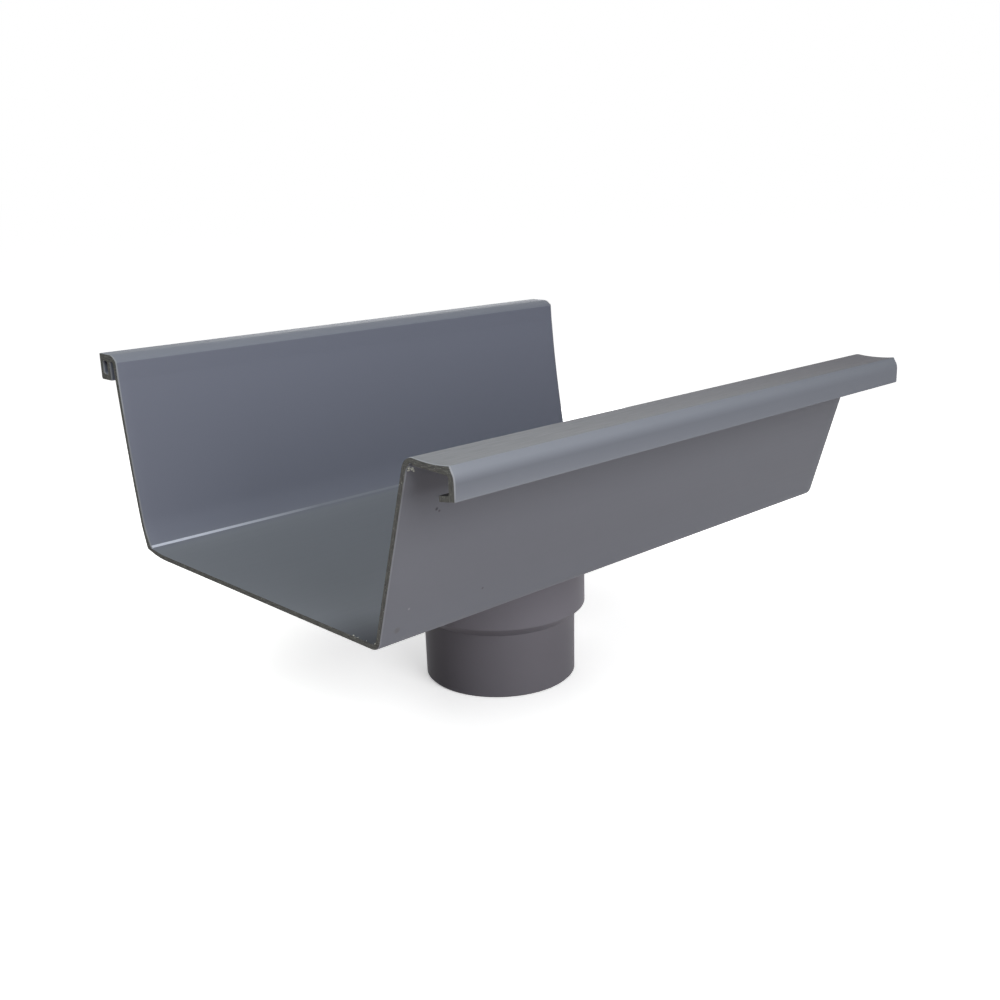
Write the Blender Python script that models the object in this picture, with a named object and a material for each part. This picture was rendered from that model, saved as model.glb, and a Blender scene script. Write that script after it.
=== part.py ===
"""Box gutter outlet: a short length of PVC box gutter with a spigot in its floor.

The trough is extruded along Y. Its front wall, at +X, ends in a wide open rim and its rear
wall, at -X, in a narrow hollow bead. The spigot hangs from the middle of the floor and the
whole stands on the spigot's end, at Z = 0. The origin is below the middle of the outer box.
"""
import math

import bmesh
import bpy

MM = 0.001

# Trough: the extruded section, outside sizes
TROUGH_LENGTH = 300 * MM
FLOOR_WIDTH = 185 * MM           # corner to corner, where floor and wall faces would meet
WALL = 2.5 * MM
FRONT_HEIGHT = 80 * MM           # underside of the floor to the top of the front rim
REAR_HEIGHT = 96.5 * MM          # underside of the floor to the top of the rear bead
FRONT_LEAN = math.radians(16.5)  # each wall's lean from upright
REAR_LEAN = math.radians(8.0)
FRONT_BEND = 5 * MM              # outer radius where the floor turns up
REAR_BEND = 12 * MM
REAR_WALL_BOW = 0.9 * MM         # how far the rear wall bellies outwards at half height

# Front rim: a C on its side, open below, for the nose of a gutter bracket
RIM_WIDTH = 26.5 * MM            # trough side of the crest to the outer face
RIM_CREST_BEND = 6.5 * MM
RIM_TOP = 2.8 * MM               # thickness of the top flange where it leaves the crest
RIM_TOP_FALL = 0.8 * MM          # how much its underside falls towards the outer face
RIM_DISH = 0.6 * MM              # how far its upper face dips between its two edges
RIM_FACE = 3.0 * MM              # thickness of the outer face
RIM_FACE_HEIGHT = 12.5 * MM
RIM_SLANT_RUN = 2.3 * MM         # the top of the outer face leans back by this much
RIM_SLANT_DROP = 4.0 * MM
RIM_SLANT_BLEND = 6 * MM
RIM_LIP = 2.5 * MM
RIM_LIP_REACH = 8.2 * MM         # outer face to the lip's tip
RIM_LIP_DROOP = 1.2 * MM         # the tip hangs lower than the root by this much

# Rear bead: a hollow box and, beside it, a slot that opens downwards
BEAD_WIDTH = 15.3 * MM           # outer face to the corner where top and trough face would meet
BEAD_HEIGHT = 12.7 * MM
BEAD_WALL = 2.9 * MM
BEAD_TOP = 3.5 * MM              # thickness over the hollow and the slot
BEAD_DOME_BEND = 7 * MM          # the top rolls over towards the trough in this radius
BEAD_SHOULDER_RUN = 4.1 * MM     # then slopes to a tight shoulder, this far across and down
BEAD_SHOULDER_DROP = 2.8 * MM
BEAD_SHOULDER_BEND = 2 * MM
BEAD_SHOULDER_SWELL = 0.8 * MM   # extra thickness of the wall under the shoulder
BEAD_NECK = 12.5 * MM            # where that thickening starts, below the top
BEAD_NECK_BLEND = 20 * MM
BEAD_WEB = 2.8 * MM              # between the hollow and the slot
BEAD_SLOT = 3.2 * MM             # slot width at its closed end
BEAD_FOOT_ROUND = 1.2 * MM

# Small rounds of the section
CORNER_ROUND = 0.4 * MM
CREASE_ROUND = 0.7 * MM
HOLLOW_ROUND = 0.8 * MM
INNER_FRONT_BEND = 1.2 * MM      # the front bend is nearly sharp inside

# Spigot, turned about an upright axis
PIPE_DIAMETER = 80 * MM          # the downpipe size that it fits
PIPE_LENGTH = 33.8 * MM
PIPE_TAPER = 0.3 * MM            # how much the pipe's radius shrinks to its end
PIPE_WALL = 2.8 * MM
END_CHAMFER = 0.9 * MM
COLLAR_DIAMETER = 91 * MM
COLLAR_WALL = 3.0 * MM
COLLAR_LENGTH = 42.8 * MM        # cone to the underside of the floor
COLLAR_ROUND = 0.9 * MM
CONE_HEIGHT = 4.9 * MM
FLANGE_REACH = 6.5 * MM          # how far the glued flange lies on the floor round the collar
FLANGE_THICKNESS = 2.0 * MM
FLANGE_ROUND = 1.2 * MM
GLUE_GAP = 0.3 * MM              # clearance between the spigot and the trough, all round

# Facets
SECTION_STEP = math.radians(9)   # largest turn between two points of a section's bend
TURNED_STEP = math.radians(16)   # the same for the spigot's half section
SHORTEST_CHORD = 0.25 * MM       # small rounds take fewer points than the steps ask
BOW_SEGMENTS = 10
TURNED_SEGMENTS = 96
SMOOTH_ANGLE = math.radians(32)
CUT_MARGIN = 5 * MM

TROUGH_GREY = "#70737C"
SPIGOT_GREY = "#68666B"
PVC_ROUGHNESS = 0.42

SPIGOT_DROP = PIPE_LENGTH + CONE_HEIGHT + COLLAR_LENGTH


def clear_scene():
    for item in list(bpy.data.objects):
        bpy.data.objects.remove(item, do_unlink=True)


def linear(hex_colour):
    """Turn an sRGB hex colour into linear red, green, blue and alpha."""
    parts = [int(hex_colour[i:i + 2], 16) / 255 for i in (1, 3, 5)]
    curve = [c / 12.92 if c <= 0.04045 else ((c + 0.055) / 1.055) ** 2.4 for c in parts]
    return (*curve, 1.0)


def pvc_material(name, hex_colour):
    material = bpy.data.materials.new(name)
    material.use_nodes = True
    shader = material.node_tree.nodes["Principled BSDF"]
    shader.inputs["Base Color"].default_value = linear(hex_colour)
    shader.inputs["Roughness"].default_value = PVC_ROUGHNESS
    shader.inputs["Metallic"].default_value = 0.0
    material.diffuse_color = linear(hex_colour)
    return material


def link_object(name, mesh, material=None):
    item = bpy.data.objects.new(name, mesh)
    bpy.context.scene.collection.objects.link(item)
    if material:
        mesh.materials.append(material)
    return item


def rounded_corner(before, corner, after, radius, step):
    """Points of the arc of this radius that rounds a corner, or the corner itself."""
    if radius <= 0:
        return [corner]
    ax, az = before[0] - corner[0], before[1] - corner[1]
    bx, bz = after[0] - corner[0], after[1] - corner[1]
    a_len, b_len = math.hypot(ax, az), math.hypot(bx, bz)
    ax, az, bx, bz = ax / a_len, az / a_len, bx / b_len, bz / b_len
    inside = math.acos(max(-1.0, min(1.0, ax * bx + az * bz)))
    setback = min(radius / math.tan(inside / 2), 0.45 * min(a_len, b_len))
    radius = setback * math.tan(inside / 2)
    mid_x, mid_z = ax + bx, az + bz
    mid_len = math.hypot(mid_x, mid_z)
    reach = radius / math.sin(inside / 2)
    centre = (corner[0] + mid_x / mid_len * reach, corner[1] + mid_z / mid_len * reach)
    start = math.atan2(corner[1] + az * setback - centre[1], corner[0] + ax * setback - centre[0])
    end = math.atan2(corner[1] + bz * setback - centre[1], corner[0] + bx * setback - centre[0])
    turn = (end - start + math.pi) % (2 * math.pi) - math.pi
    steps = max(2, math.ceil(abs(turn) / max(step, SHORTEST_CHORD / radius)))
    return [(centre[0] + radius * math.cos(start + turn * i / steps),
             centre[1] + radius * math.sin(start + turn * i / steps)) for i in range(steps + 1)]


def bowed_run(start, end, bow):
    """Points between two ends of a shallow bow; a positive bow bellies to the right of travel."""
    if not bow:
        return []
    dx, dz = end[0] - start[0], end[1] - start[1]
    length = math.hypot(dx, dz)
    points = []
    for i in range(1, BOW_SEGMENTS):
        t = i / BOW_SEGMENTS
        push = bow * 4 * t * (1 - t)
        points.append((start[0] + dx * t + dz / length * push, start[1] + dz * t - dx / length * push))
    return points


def outline(corners, step=SECTION_STEP):
    """Round the corners (x, z, radius, bow of the run that follows) into one closed outline."""
    count = len(corners)
    arcs = []
    for i, (x, z, radius, _) in enumerate(corners):
        before, after = corners[i - 1][:2], corners[(i + 1) % count][:2]
        arcs.append(rounded_corner(before, (x, z), after, radius, step))
    points = []
    for i, arc in enumerate(arcs):
        points += arc + bowed_run(arc[-1], arcs[(i + 1) % count][0], corners[i][3])
    return points


def front_face_x(z, depth=0.0):
    """Outer face of the front wall at height z, or a plane this deep inside the wall."""
    return FLOOR_WIDTH / 2 + z * math.tan(FRONT_LEAN) - depth / math.cos(FRONT_LEAN)


def rear_face_x(z, depth=0.0):
    """Outer face of the rear wall at height z, or a plane this deep inside the wall."""
    return -FLOOR_WIDTH / 2 - z * math.tan(REAR_LEAN) + depth / math.cos(REAR_LEAN)


def rim_outer_x():
    return front_face_x(FRONT_HEIGHT, WALL) + RIM_WIDTH


def bead_outer_x():
    return rear_face_x(REAR_HEIGHT, WALL) - BEAD_WIDTH


def front_rim_corners():
    """From the flange's root at the front wall, round the open rim, to the crest."""
    crest_x = front_face_x(FRONT_HEIGHT, WALL)
    outer_x = rim_outer_x()
    foot_z = FRONT_HEIGHT - RIM_FACE_HEIGHT
    under_z = FRONT_HEIGHT - RIM_TOP
    inner_x = outer_x - RIM_FACE
    tip_x = outer_x - RIM_LIP_REACH
    lip_slope = RIM_LIP_DROOP / RIM_LIP_REACH
    return [
        (front_face_x(under_z), under_z, RIM_CREST_BEND - WALL, 0),
        (inner_x, under_z - RIM_TOP_FALL, CREASE_ROUND, 0),
        (inner_x, foot_z + RIM_LIP - RIM_FACE * lip_slope, CORNER_ROUND, 0),
        (tip_x, foot_z + RIM_LIP - RIM_LIP_DROOP, CORNER_ROUND, 0),
        (tip_x, foot_z - RIM_LIP_DROOP, CORNER_ROUND, 0),
        (outer_x, foot_z, CORNER_ROUND, 0),
        (outer_x, FRONT_HEIGHT - RIM_SLANT_DROP, RIM_SLANT_BLEND, 0),
        (outer_x - RIM_SLANT_RUN, FRONT_HEIGHT, CORNER_ROUND / 2, -RIM_DISH),
        (crest_x, FRONT_HEIGHT, RIM_CREST_BEND, 0),
    ]


def rear_bead_corners():
    """From the trough's side of the rear wall, over the bead, to the slot's closed end."""
    outer_x = bead_outer_x()
    foot_z = REAR_HEIGHT - BEAD_HEIGHT
    under_z = REAR_HEIGHT - BEAD_TOP
    slot_x = rear_face_x(under_z) - BEAD_SLOT
    neck_z = REAR_HEIGHT - BEAD_NECK
    shoulder_z = REAR_HEIGHT - BEAD_SHOULDER_DROP
    shoulder_x = rear_face_x(shoulder_z, WALL) + BEAD_SHOULDER_SWELL
    return [
        (rear_face_x(neck_z, WALL), neck_z, BEAD_NECK_BLEND, 0),
        (shoulder_x, shoulder_z, BEAD_SHOULDER_BEND, 0),
        (shoulder_x - BEAD_SHOULDER_RUN, REAR_HEIGHT, BEAD_DOME_BEND, 0),
        (outer_x, REAR_HEIGHT, CORNER_ROUND, 0),
        (outer_x, foot_z, BEAD_FOOT_ROUND, 0),
        (slot_x, foot_z, CORNER_ROUND, 0),
        (slot_x, under_z, CREASE_ROUND, 0),
        (rear_face_x(under_z), under_z, CREASE_ROUND, REAR_WALL_BOW),
    ]


def trough_section():
    floor = [
        (-FLOOR_WIDTH / 2, 0, REAR_BEND, 0),
        (FLOOR_WIDTH / 2, 0, FRONT_BEND, 0),
    ]
    inside = [
        (front_face_x(WALL, WALL), WALL, INNER_FRONT_BEND, 0),
        (rear_face_x(WALL, WALL), WALL, REAR_BEND - WALL, -REAR_WALL_BOW),
    ]
    return outline(floor + front_rim_corners() + inside + rear_bead_corners())


def bead_hollow_section():
    """The closed box in the rear bead."""
    low_z = REAR_HEIGHT - BEAD_HEIGHT + BEAD_WALL
    high_z = REAR_HEIGHT - BEAD_TOP
    left_x = bead_outer_x() + BEAD_WALL
    right_x = rear_face_x(high_z) - BEAD_SLOT - BEAD_WEB
    return outline([
        (left_x, low_z, HOLLOW_ROUND, 0),
        (right_x, low_z, HOLLOW_ROUND, 0),
        (right_x, high_z, HOLLOW_ROUND, 0),
        (left_x, high_z, HOLLOW_ROUND, 0),
    ])


def extruded(name, section, length):
    """Extrude a closed section of (x, z) points along Y, centred on Y = 0."""
    shape = bmesh.new()
    ring = [shape.verts.new((x, -length / 2, z)) for x, z in section]
    cap = shape.faces.new(ring)
    grown = bmesh.ops.extrude_face_region(shape, geom=[cap])["geom"]
    far = [item for item in grown if isinstance(item, bmesh.types.BMVert)]
    bmesh.ops.translate(shape, verts=far, vec=(0, length, 0))
    bmesh.ops.recalc_face_normals(shape, faces=shape.faces)
    mesh = bpy.data.meshes.new(name)
    shape.to_mesh(mesh)
    shape.free()
    return mesh


def turned(name, profile):
    """Turn a closed profile of (radius, z) points about the Z axis."""
    shape = bmesh.new()
    rings = []
    for i in range(TURNED_SEGMENTS):
        angle = 2 * math.pi * i / TURNED_SEGMENTS
        rings.append([shape.verts.new((r * math.cos(angle), r * math.sin(angle), z)) for r, z in profile])
    for i, ring in enumerate(rings):
        following = rings[(i + 1) % TURNED_SEGMENTS]
        for j in range(len(profile)):
            k = (j + 1) % len(profile)
            shape.faces.new((ring[j], following[j], following[k], ring[k]))
    bmesh.ops.recalc_face_normals(shape, faces=shape.faces)
    mesh = bpy.data.meshes.new(name)
    shape.to_mesh(mesh)
    shape.free()
    return mesh


def drum(name, radius, low, high):
    """A solid cylinder on the Z axis between two heights."""
    shape = bmesh.new()
    bmesh.ops.create_cone(shape, cap_ends=True, segments=TURNED_SEGMENTS, radius1=radius,
                          radius2=radius, depth=high - low)
    bmesh.ops.translate(shape, verts=shape.verts, vec=(0, 0, (high + low) / 2))
    mesh = bpy.data.meshes.new(name)
    shape.to_mesh(mesh)
    shape.free()
    return mesh


def cutter(name, mesh, location=(0, 0, 0)):
    item = link_object(name, mesh)
    item.location = location
    item.hide_render = True
    item.display_type = "WIRE"
    return item


def cut(item, tool):
    """Take the tool's shape away from the item."""
    step = item.modifiers.new(tool.name, "BOOLEAN")
    step.operation = "DIFFERENCE"
    step.solver = "EXACT"
    step.object = tool


def shade(item):
    item.data.shade_smooth()
    item.data.set_sharp_from_angle(angle=SMOOTH_ANGLE)


def box_centre_x():
    """Middle of the outer box, measured from the middle of the floor."""
    return (rim_outer_x() + bead_outer_x()) / 2


def hole_radius():
    return COLLAR_DIAMETER / 2 + GLUE_GAP


def build_trough(material, parent):
    item = link_object("gutter_trough", extruded("gutter_trough", trough_section(), TROUGH_LENGTH), material)
    item.parent = parent
    item.location = (-box_centre_x(), 0, SPIGOT_DROP)
    hollow_length = TROUGH_LENGTH + 2 * CUT_MARGIN
    hollow = cutter("bead_hollow", extruded("bead_hollow", bead_hollow_section(), hollow_length), item.location)
    cut(item, hollow)
    hole = cutter("floor_hole", drum("floor_hole", hole_radius(), -CUT_MARGIN, WALL + CUT_MARGIN), item.location)
    cut(item, hole)
    shade(item)
    return item


def spigot_profile():
    """Half section of the spigot as (radius, z), from its standing end up to the flange."""
    pipe_r = PIPE_DIAMETER / 2
    end_r = pipe_r - PIPE_TAPER
    collar_r = COLLAR_DIAMETER / 2
    bore_r = pipe_r - PIPE_WALL
    collar_bore_r = collar_r - COLLAR_WALL
    cone_z = PIPE_LENGTH
    collar_z = PIPE_LENGTH + CONE_HEIGHT
    seat_z = SPIGOT_DROP + WALL + GLUE_GAP
    top_z = seat_z + FLANGE_THICKNESS
    flange_r = collar_r + FLANGE_REACH
    return outline([
        (end_r - PIPE_WALL, 0, 0, 0),
        (end_r - END_CHAMFER, 0, 0, 0),
        (end_r, END_CHAMFER, 0, 0),
        (pipe_r, cone_z, 0, 0),
        (collar_r, collar_z, COLLAR_ROUND, 0),
        (collar_r, seat_z, 0, 0),
        (flange_r, seat_z, 0, 0),
        (flange_r, top_z, FLANGE_ROUND, 0),
        (collar_bore_r, top_z, FLANGE_ROUND, 0),
        (collar_bore_r, collar_z, COLLAR_ROUND, 0),
        (bore_r, cone_z, COLLAR_ROUND, 0),
    ], TURNED_STEP)


def build_spigot(material, parent):
    item = link_object("outlet_spigot", turned("outlet_spigot", spigot_profile()), material)
    item.parent = parent
    item.location = (-box_centre_x(), 0, 0)
    shade(item)
    return item


def main():
    clear_scene()
    root = bpy.data.objects.new("box_gutter_outlet", None)
    bpy.context.scene.collection.objects.link(root)
    build_trough(pvc_material("trough_pvc", TROUGH_GREY), root)
    build_spigot(pvc_material("spigot_pvc", SPIGOT_GREY), root)


main()
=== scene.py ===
import math

import bmesh
import bpy
from mathutils import Matrix, Vector


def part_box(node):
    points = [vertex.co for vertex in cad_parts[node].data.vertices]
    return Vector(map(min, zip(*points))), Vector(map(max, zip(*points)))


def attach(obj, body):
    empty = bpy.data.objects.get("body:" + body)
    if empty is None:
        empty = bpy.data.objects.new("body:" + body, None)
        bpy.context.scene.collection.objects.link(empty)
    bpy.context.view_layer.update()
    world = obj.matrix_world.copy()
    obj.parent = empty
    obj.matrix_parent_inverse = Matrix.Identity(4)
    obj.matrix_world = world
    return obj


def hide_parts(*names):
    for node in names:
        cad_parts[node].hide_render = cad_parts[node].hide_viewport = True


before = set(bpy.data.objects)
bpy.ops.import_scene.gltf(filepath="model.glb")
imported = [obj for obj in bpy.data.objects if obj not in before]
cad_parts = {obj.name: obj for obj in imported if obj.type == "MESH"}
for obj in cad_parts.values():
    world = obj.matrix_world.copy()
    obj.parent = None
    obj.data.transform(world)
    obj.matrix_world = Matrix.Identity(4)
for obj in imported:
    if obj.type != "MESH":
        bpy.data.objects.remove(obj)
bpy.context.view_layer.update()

MM = 0.001

# CAD nodes that the finished pieces stand for
TROUGH = "gutter_trough"
SPIGOT = "outlet_spigot"

# Rear fold of the trough: a tight corner that eases into the wall and the floor
FOLD_PLACE = 90.75 * MM         # from the spigot's axis to the corner's outside
FOLD_LIFT = 2.45 * MM           # from the floor's underside up to it
FOLD_INSIDE = Vector((3.45, 1.27)) * MM     # from the corner's outside to its inside
FOLD_WALL_TOP = 17 * MM         # above the underside of the floor; here the wall starts to curve in
FOLD_WALL_EASE = 7 * MM         # how far the wall's curve keeps the wall's own slope
FOLD_FLOOR_END = 73 * MM        # from the spigot's axis; here the floor has become flat
FOLD_FLOOR_EASE = 9 * MM        # from the corner to where the floor's curve turns level
FOLD_ROUND = 0.9 * MM           # how far the corner's round reaches along each side
FOLD_POINTS = 7                 # in each of its three curves
FOLD_HIGHLIGHT_REACH = 0.85 * MM            # radius round the inner corner that carries the painted highlight

# Sawn ends of the trough
EDGE_BREAK = 0.65 * MM          # length of the worn edge at each sawn end
EDGE_DEPTH = 0.14 * MM          # how deep it goes into the wall
EDGE_UNEVENNESS = 0.7           # share by which that depth varies along the edge
EDGE_GRAIN = 2.5 * MM           # length over which it varies
CUT_SHARE = 0.25                # nearer to the end than this share of the worn edge, a face is sawn
WORN_SHARE = 0.75               # and nearer than this it is scraped, where it faces the lamps; there it also carries a painted highlight
SIDEWAYS = 0.35                 # a face looks towards +X if its normal has at least this much of it
UPWARDS = 0.5                   # and up if it has at least this much of +Z
SQUARE_ON = 0.99                # it looks straight along an axis if it has at least this much of that
RIM_TOP_LEVEL = 159 * MM        # surfaces above this are the rim's top and the rear bead
SLICES = 61                     # cross sections along the trough
SAME_POINT = 0.002 * MM
UPRIGHT = (math.radians(90), 0, 0)          # stands an outline up, so that its Y becomes Z

# Nick that the saw left under the rim's crest, and the shavings that still hang on the near end
NICK_PLACE = Vector((107.0, -150.0, 158.2)) * MM
NICK_RADIUS = 1.3 * MM
NICK_DEPTH = 14 * MM
NICK_SIDES = 24
NICK_CURL = 0.5 * MM            # radius of the shavings in the nick
NICK_SHAVINGS = ((105.2, 156.7), (105.9, 157.5), (107.3, 157.4), (108.3, 156.8))    # (x, height) in mm
SMALL_CURL = 0.28 * MM          # and of those on the floor's edge and on the bead
SMALL_SHAVINGS = ((65.9, 83.9), (66.9, 83.7), (68.6, 83.8), (74.3, 83.9), (79.6, 84.3), (-125.6, 168.4))
SHAVING_WIDTH = 0.5 * MM
SHAVING_THICKNESS = 0.16 * MM
SHAVING_INSET = 0.3 * MM        # from the trough's end to a shaving's middle
SHAVING_SEED = 4
CURL_POINTS = 14
CURL_TURNS = 0.7
CURL_SIZES = (0.6, 1.1)         # smallest and largest, as shares of the curl's radius

# Tones of the trough's skin across its width, and up the rim's outer face with painted highlights on its
# bevel and lower edge: (mm, colour)
ACROSS = (-130 * MM, 130 * MM)
WALL_TONES = ((-100, "#737786"), (-92, "#7D818A"), (-70, "#7A7E87"), (-30, "#767A83"),
              (70, "#757982"), (88, "#73757D"))
FACE_RISE = (148 * MM, 162 * MM)
FACE_HIGHLIGHT_TONES = ((149.0, "#868A91"), (149.8, "#7B7F88"), (153.0, "#72767F"), (155.2, "#6C7079"),
              (157.5, "#797D87"), (159.0, "#80848E"), (161.4, "#7F838D"))
FACE_START = 127.15 * MM        # the rim's outer face is beyond this
RIM_START = 100 * MM            # and the rim beyond this
RIM_TOP_SKIN = 160.6 * MM
# above this the rear bead's top is painted lighter: a painted highlight
BEAD_HIGHLIGHT_LEVEL = 174.5 * MM

# Grain of the finishes: the size of their streaks and clouds along X, Y and Z
RIM_BRUSHING = (0.35 * MM, 12 * MM, 0.35 * MM)
DRAWN_LINES = (1.1 * MM, 90 * MM, 1.1 * MM)
STANDING_STREAKS = (0.22 * MM, 1 * MM, 4 * MM)
LYING_STREAKS = (4 * MM, 1 * MM, 0.22 * MM)
TROUGH_CLOUD = 60 * MM
TORN_SPECK = 0.45 * MM
MOULDED_CLOUD = 30 * MM
MOULDED_GRAIN = 0.5 * MM
FINE_RELIEF = 0.02 * MM
SAWN_RELIEF = 0.1 * MM
STREAKS_LIE_BELOW = 85.5 * MM   # the saw's streaks lie flat on the floor's end
STREAKS_LIE_ABOVE = 157.5 * MM  # and on the ends of the rim's top and of the rear bead
SCRAPE_RISE = (147 * MM, 153 * MM)          # up the rim's lip, where the scraped edge grows paler as a painted highlight
FOLD_HIGHLIGHT_FADE = (-125 * MM, -50 * MM)            # along the rear fold, where its painted highlight fades
COLLAR_LIGHT_RISE = (34 * MM, 40 * MM)            # up the spigot's cone, from the pipe's tone to the collar's lighter one, which is painted light

# Small marks on the front wall: (place in mm, radius in mm, colour)
MARKS = (
    ((98.4, -131.9, 137.4), 0.9, "#45454B"), ((98.1, -130.4, 136.3), 0.7, "#505056"),
    ((86.4, -137.8, 96.8), 0.7, "#8C8C90"), ((84.0, -142.2, 88.7), 1.8, "#69696E"),
    ((85.8, -99.0, 94.7), 0.7, "#5A5A60"))
MARK_CORE = 0.3                 # share of a mark's radius within which it has its full colour

# Painted shade that darkens the floor's near front corner and the top of the rim's lip
SHADE_CORNER = Vector((81.0, -152.0, 84.0)) * MM
SHADE_REACH = 44 * MM
SHADE_END = 81.3 * MM            # the floor's inner corner: no painted shade beyond it
SHADE_FLOOR = 83 * MM            # nor below this
LIP_TOP = (149.9 * MM, 151.6 * MM)
LIP_SPAN = (121.4 * MM, 126.6 * MM)

# Hole that was drilled for the spigot
HOLE_CLEARANCE = 0.3 * MM
HOLE_SIDES = 192
CUT_DEPTH = 20 * MM
UNDER_FLANGE = 5 * MM           # further than this below the floor, the collar is the widest part

# Turned form of the spigot
TURN_RADIUS = 40 * MM
TURNED_SIDES = 256
SMOOTH_ANGLE = math.radians(32)

# Photograph's viewpoint, in the row frame
CAMERA_PLACE = Vector((410.8, -394.3, 252.1)) * MM
CAMERA_YAW = math.radians(46.69)
CAMERA_PITCH = math.radians(15.38)
CAMERA_ROLL = math.radians(1.69)
CAMERA_FOCAL_LENGTH = 41.46     # in mm, as is the sensor's width
CAMERA_SENSOR = 36.0

# Studio floor
FLOOR_REACH = 30.0
FLOOR_BOUNCE = "#ABA1A2"        # what it throws back at the object
FLOOR_GLOW = 0.66               # added where it is seen directly; 1 in all is white
GLOW_RISE = (80 * MM, 250 * MM) # from the spigot's axis; further out the glow alone makes the floor white and paints light over its shadow
CONTACT_REACH = 35 * MM         # the painted contact shadow round the spigot's foot
CONTACT_DEPTH = 0.4

# Studio lamps, all aimed at one point
LAMP_AIM = Vector((0.1, -0.15, 0.15))
LAMP_DISTANCE = 0.9
LAMP_SIZE = 0.6
LAMPS = (                       # (name, azimuth from +X and elevation in degrees, watts, colour)
    ("right", 0, 20, 6.6, "#FFFFFF"), ("front_top", 315, 55, 3.0, "#FBFFF8"),
    ("left_top", 270, 55, 4.0, "#FBFFF8"),
    ("behind", 135, 4, 2.0, "#FFFFFF"))     # the photo's view hardly sees what it lights


def linear(hex_colour):
    """Turn an sRGB hex colour into linear red, green, blue and alpha."""
    parts = [int(hex_colour[i:i + 2], 16) / 255 for i in (1, 3, 5)]
    curve = [c / 12.92 if c <= 0.04045 else ((c + 0.055) / 1.055) ** 2.4 for c in parts]
    return (*curve, 1.0)


def add(tree, kind, settings=None, links=None):
    """Add a node; a link is a plain value for a socket or the output that feeds it."""
    node = tree.nodes.new(kind)
    for name, value in (settings or {}).items():
        setattr(node, name, value)
    for socket, value in (links or {}).items():
        if isinstance(value, bpy.types.NodeSocket):
            tree.links.new(value, node.inputs[socket])
        else:
            node.inputs[socket].default_value = value
    return node


def new_material(name):
    material = bpy.data.materials.new(name)
    material.use_nodes = True
    material.node_tree.nodes.clear()
    return material


def finish_material(material, shader, normal=None):
    tree = material.node_tree
    if normal:
        tree.links.new(normal, shader.inputs["Normal"])
    add(tree, "ShaderNodeOutputMaterial", links={"Surface": shader.outputs[0]})
    return material


def set_stops(ramp, stops, span):
    """Put a colour ramp's stops at places in mm, where the ramp runs over this span in metres."""
    elements = ramp.color_ramp.elements
    elements.remove(elements[1])
    for i, (where, colour) in enumerate(stops):
        position = (where * MM - span[0]) / (span[1] - span[0])
        stop = elements.new(position) if i else elements[0]
        stop.position = position
        stop.color = linear(colour)


def streaked(tree, place, grain, detail):
    """Noise whose streaks have this size along each axis."""
    drawn = add(tree, "ShaderNodeMapping", links={
        "Vector": place, "Scale": tuple(1 / size for size in grain)})
    return add(tree, "ShaderNodeTexNoise", links={
        "Vector": drawn.outputs[0], "Scale": 1.0, "Detail": detail}).outputs["Fac"]


def rim_top_wear_and_shade(tree, place, away):
    """The rim's top: rubbed matt and neutral by handling, brushed lengthwise, and dimmer far away by painted
    shade.
    """
    streaks = streaked(tree, place, RIM_BRUSHING, 5.0)
    near = add(tree, "ShaderNodeMix", {"data_type": "RGBA"}, {
        "Factor": streaks, "A": linear("#6B6D73"), "B": linear("#919298")})
    # painted shade: the far end's tones are dimmer
    far = add(tree, "ShaderNodeMix", {"data_type": "RGBA"}, {
        "Factor": streaks, "A": linear("#605F66"), "B": linear("#7A797F")})
    return add(tree, "ShaderNodeMix", {"data_type": "RGBA"}, {
        "Factor": away, "A": near.outputs["Result"], "B": far.outputs["Result"]}).outputs["Result"]


def between(tree, value, span):
    """1 where a value lies within a span, else 0."""
    above = add(tree, "ShaderNodeMath", {"operation": "GREATER_THAN"}, {0: value, 1: span[0]}).outputs[0]
    below = add(tree, "ShaderNodeMath", {"operation": "LESS_THAN"}, {0: value, 1: span[1]}).outputs[0]
    return add(tree, "ShaderNodeMath", {"operation": "MULTIPLY"}, {0: above, 1: below}).outputs[0]


def wall_tone(tree, place, at):
    """The walls and the floor: a tone that shifts across the trough, a little cloudy."""
    across = add(tree, "ShaderNodeMapRange", links={
        "Value": at["X"], "From Min": ACROSS[0], "From Max": ACROSS[1]}).outputs[0]
    walls = add(tree, "ShaderNodeValToRGB", links={"Fac": across})
    set_stops(walls, WALL_TONES, ACROSS)
    cloud = add(tree, "ShaderNodeTexNoise", links={
        "Vector": place, "Scale": 1 / TROUGH_CLOUD, "Detail": 2.0})
    cloudy = add(tree, "ShaderNodeMix", {"data_type": "RGBA"}, {
        "Factor": cloud.outputs["Fac"], "A": linear("#9A9A9A"), "B": linear("#A6A6A6")}).outputs["Result"]
    return add(tree, "ShaderNodeMix", {"data_type": "RGBA", "blend_type": "OVERLAY"}, {
        "Factor": 0.15, "A": walls.outputs["Color"], "B": cloudy}).outputs["Result"]


def rim_face_painted_light(tree, at, away):
    """The rim's outer face: painted highlights make it paler on its bevel and towards its lower edge, and
    painted shade evens it out at the far end.
    """
    rise = add(tree, "ShaderNodeMapRange", links={
        "Value": at["Z"], "From Min": FACE_RISE[0], "From Max": FACE_RISE[1]}).outputs[0]
    face = add(tree, "ShaderNodeValToRGB", links={"Fac": rise})
    set_stops(face, FACE_HIGHLIGHT_TONES, FACE_RISE)
    # painted shade: the far end takes one dim tone
    return add(tree, "ShaderNodeMix", {"data_type": "RGBA"}, {
        "Factor": away, "A": face.outputs["Color"], "B": linear("#70747D")}).outputs["Result"]


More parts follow.
